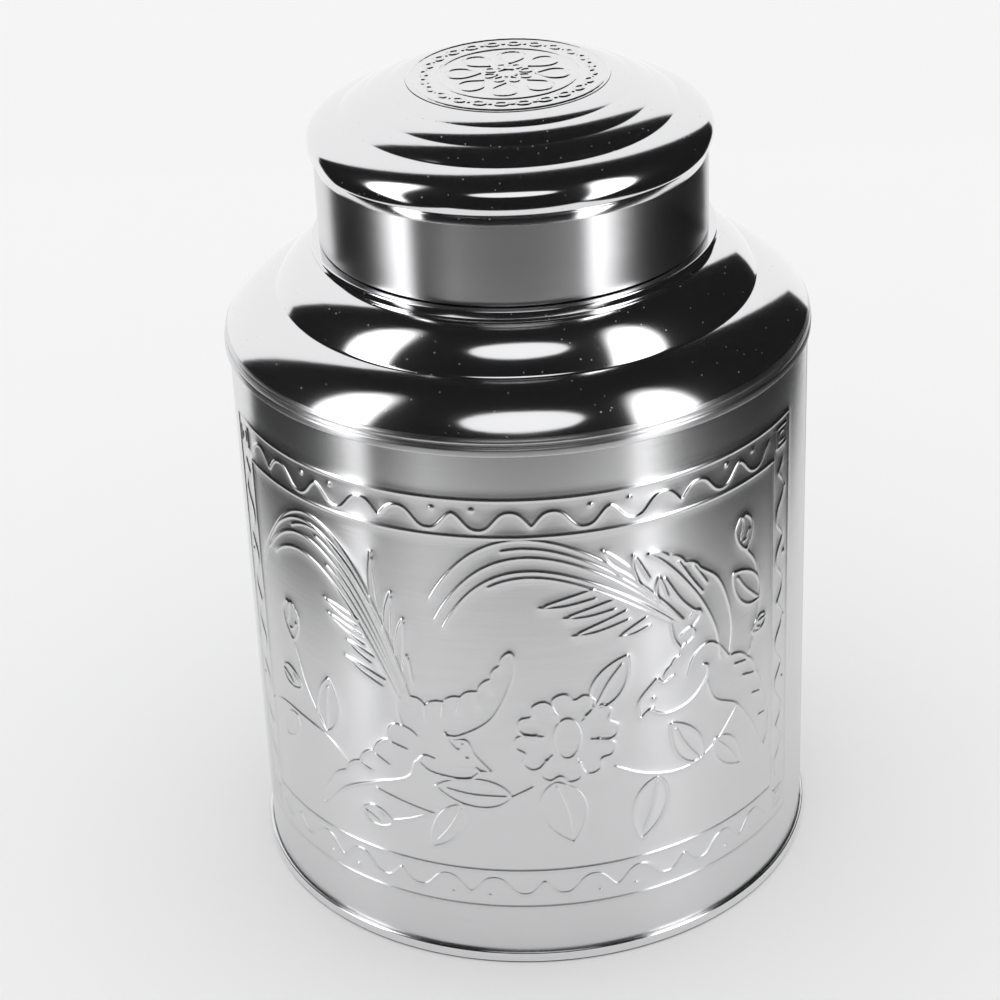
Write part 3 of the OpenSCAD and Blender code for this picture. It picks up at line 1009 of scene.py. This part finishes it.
def stage_material(name, grey):
    """Matt paint or cloth in one grey."""
    material = bpy.data.materials.new(name)
    material.use_nodes = True
    shader = material.node_tree.nodes["Principled BSDF"]
    shader.inputs["Base Color"].default_value = (grey, grey, grey, 1)
    shader.inputs["Roughness"].default_value = 0.9
    shader.inputs["Specular IOR Level"].default_value = 0.1
    return material


def direction(azimuth, elevation):
    """Unit vector towards an azimuth from the front and an elevation, in degrees."""
    a = math.radians(azimuth) + PANEL_TURN
    e = math.radians(elevation)
    return Vector((math.sin(a) * math.cos(e), -math.cos(a) * math.cos(e), math.sin(e)))


def glow_card(name, azimuth, elevation, lean, width, height, strength, soft):
    """A soft light panel seen only in the tin; soft is the share of it that fades out."""
    deselect_all()
    centre = Vector(LIGHT_CENTRE)
    place = centre + direction(azimuth, elevation) * LIGHT_REACH
    face_centre = (centre - place).to_track_quat("-Z", "Y")
    turn = face_centre @ Quaternion((0, 0, 1), math.radians(lean))
    bpy.ops.mesh.primitive_plane_add(size=2, location=place, rotation=turn.to_euler())
    card = bpy.context.active_object
    card.name = name
    card.scale = (width / 2, height / 2, 1)
    material = bpy.data.materials.new(name)
    material.use_nodes = True
    tree = material.node_tree
    tree.nodes.clear()
    glow = add_node(tree, "ShaderNodeEmission")
    out = add_node(tree, "ShaderNodeOutputMaterial")
    clear = add_node(tree, "ShaderNodeBsdfTransparent")
    mix = add_node(tree, "ShaderNodeMixShader")
    glow.inputs["Strength"].default_value = strength
    ball = add_node(tree, "ShaderNodeTexGradient", gradient_type="SPHERICAL")
    tree.links.new(object_mapping(tree, (1, 1, 1)), ball.inputs["Vector"])
    fade = add_node(tree, "ShaderNodeMapRange", interpolation_type="SMOOTHSTEP")
    fade.inputs["From Max"].default_value = soft
    tree.links.new(ball.outputs["Fac"], fade.inputs["Value"])
    tree.links.new(fade.outputs["Result"], mix.inputs["Fac"])
    tree.links.new(clear.outputs["BSDF"], mix.inputs[1])
    tree.links.new(glow.outputs["Emission"], mix.inputs[2])
    tree.links.new(mix.outputs["Shader"], out.inputs["Surface"])
    card.data.materials.append(material)
    hide_from_camera(card)


def hide_from_camera(thing):
    """Leaves a stage object to be seen in reflections only."""
    thing.visible_camera = False
    thing.visible_diffuse = False
    thing.visible_shadow = False


class OBJECT_OT_caddy_stage(bpy.types.Operator):
    """Sets the camera, the floor, the soft lights, the dark room and the table"""
    bl_idname = "object.caddy_stage"
    bl_label = "Stage"

    def execute(self, context):
        self.camera()
        deselect_all()
        bpy.ops.mesh.primitive_plane_add(size=FLOOR_SIZE, location=(0, 0, 0))
        floor = bpy.context.active_object
        floor.name = "floor"
        floor.data.materials.append(stage_material("pale_floor", 0.92))
        floor.visible_glossy = False
        self.room()
        glow_card("front_light", 0, 63, 0, 0.98, 0.58, 1.1, 0.05)
        glow_card("left_light", -74, 18, 12, 0.75, 3.9, 3.6, 0.5)
        glow_card("right_light", 56, 20, -16, 0.85, 3.9, 3.6, 0.5)
        self.world()
        return {"FINISHED"}

    def camera(self):
        """The camera in front, looking down."""
        data = bpy.data.cameras.new("camera")
        data.sensor_width = 36
        data.lens = LENS
        camera = bpy.data.objects.new("camera", data)
        bpy.context.scene.collection.objects.link(camera)
        spin = Matrix.Rotation(PANEL_TURN, 4, "Z")
        place = Matrix.Translation(CAMERA_PLACE)
        yaw = Matrix.Rotation(math.radians(CAMERA_YAW), 4, "Z")
        down = Matrix.Rotation(math.radians(90 - CAMERA_DOWN), 4, "X")
        roll = Matrix.Rotation(math.radians(CAMERA_ROLL), 4, "Z")
        camera.matrix_world = spin @ place @ (yaw @ down) @ roll
        bpy.context.scene.camera = camera

    def room(self):
        """The dark studio in front and overhead and the small table, seen only in the tin."""
        deselect_all()
        bpy.ops.mesh.primitive_uv_sphere_add(segments=96, ring_count=48, radius=ROOM_RADIUS,
                                             location=(0, 0, 0))
        room = bpy.context.active_object
        room.name = "dark_room"
        aside = Matrix.Rotation(PANEL_TURN + ROOM_ASIDE, 3, "Z")
        edit_all()
        bpy.ops.mesh.bisect(plane_co=(0, 0, ROOM_TOP), plane_no=aside @ Vector((0, 1, ROOM_SLANT)),
                            clear_outer=True)
        bpy.ops.mesh.select_all(action="SELECT")
        bpy.ops.mesh.bisect(plane_co=aside @ Vector((0, ROOM_BACK, 0)), plane_no=aside @ Vector((0, 1, 0)),
                            clear_outer=True)
        bpy.ops.object.mode_set(mode="OBJECT")
        room.data.materials.append(stage_material("dark_cloth", 0.012))
        hide_from_camera(room)
        deselect_all()
        middle = Matrix.Rotation(PANEL_TURN, 3, "Z") @ Vector((0, TABLE_BACK, 0.5 * MM))
        bpy.ops.mesh.primitive_plane_add(size=1, location=middle, rotation=(0, 0, PANEL_TURN))
        table = bpy.context.active_object
        table.name = "table"
        table.scale = (TABLE_WIDTH, TABLE_LENGTH, 1)
        table.data.materials.append(stage_material("table_top", 0.93))
        hide_from_camera(table)

    def world(self):
        """The white surround that lights everything softly."""
        world = bpy.data.worlds.new("studio")
        world.use_nodes = True
        back = world.node_tree.nodes["Background"]
        back.inputs["Color"].default_value = (1, 1, 1, 1)
        back.inputs["Strength"].default_value = 1.0
        bpy.context.scene.world = world
        bpy.context.scene.view_settings.view_transform = "Standard"


class VIEW3D_PT_caddy(bpy.types.Panel):
    """Lists the caddy's operators and sizes"""
    bl_idname = "VIEW3D_PT_caddy"
    bl_label = "Tea caddy"
    bl_space_type = "VIEW_3D"
    bl_region_type = "UI"
    bl_category = "Tea caddy"

    def draw(self, context):
        for group in (context.scene.caddy_sizes, context.scene.caddy_relief, context.scene.caddy_finish):
            for name in group.__annotations__:
                self.layout.prop(group, name)
        for operator in OPERATORS:
            self.layout.operator(operator.bl_idname)


GROUPS = (("caddy_sizes", CaddySizes), ("caddy_relief", ReliefSizes), ("caddy_finish", TinFinish))
OPERATORS = (OBJECT_OT_caddy_stage, OBJECT_OT_caddy_wall, OBJECT_OT_caddy_bottom, OBJECT_OT_caddy_shoulder,
             OBJECT_OT_caddy_collar, OBJECT_OT_caddy_lid, OBJECT_OT_caddy_inner_lid)


def register():
    for name, group in GROUPS:
        bpy.utils.register_class(group)
        setattr(bpy.types.Scene, name, bpy.props.PointerProperty(type=group))
    for cls in OPERATORS + (VIEW3D_PT_caddy,):
        bpy.utils.register_class(cls)


def unregister():
    for cls in reversed(OPERATORS + (VIEW3D_PT_caddy,)):
        bpy.utils.unregister_class(cls)
    for name, group in reversed(GROUPS):
        delattr(bpy.types.Scene, name)
        bpy.utils.unregister_class(group)


def main():
    register()
    bpy.ops.object.caddy_stage()
    bpy.ops.object.caddy_wall()
    bpy.ops.object.caddy_bottom()
    bpy.ops.object.caddy_shoulder()
    bpy.ops.object.caddy_collar()
    bpy.ops.object.caddy_lid()
    bpy.ops.object.caddy_inner_lid()


if __name__ == "__main__":
    main()
